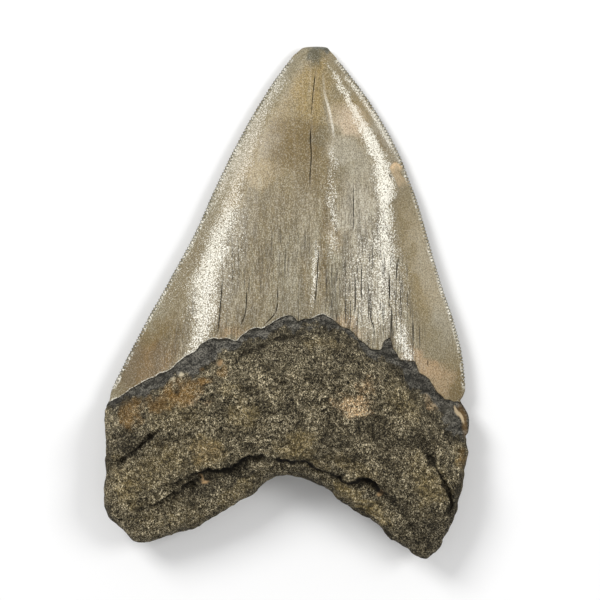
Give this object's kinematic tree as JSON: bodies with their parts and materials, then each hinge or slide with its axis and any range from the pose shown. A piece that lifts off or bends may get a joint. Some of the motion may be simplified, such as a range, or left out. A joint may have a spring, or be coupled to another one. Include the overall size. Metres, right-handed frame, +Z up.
{
  "type": "fossil shark tooth",
  "caption": "Large triangular fossil shark tooth with serrated cutting edges and a two-lobed root, lying on its flatter face.",
  "frame": {"origin": "middle of the outline's box, on the surface that the tooth lies on", "axes": "+X across the tooth, +Y from the root to the tip, +Z up, out of the rounded face"},
  "size_m": [0.0886, 0.124, 0.024],
  "materials": {
    "fossil": "satin worn enamel on the crown, dark smooth band under it, rough granular root"
  },
  "bodies": {
    "root": {"tooth": "fossil"}
  },
  "joints": []
}
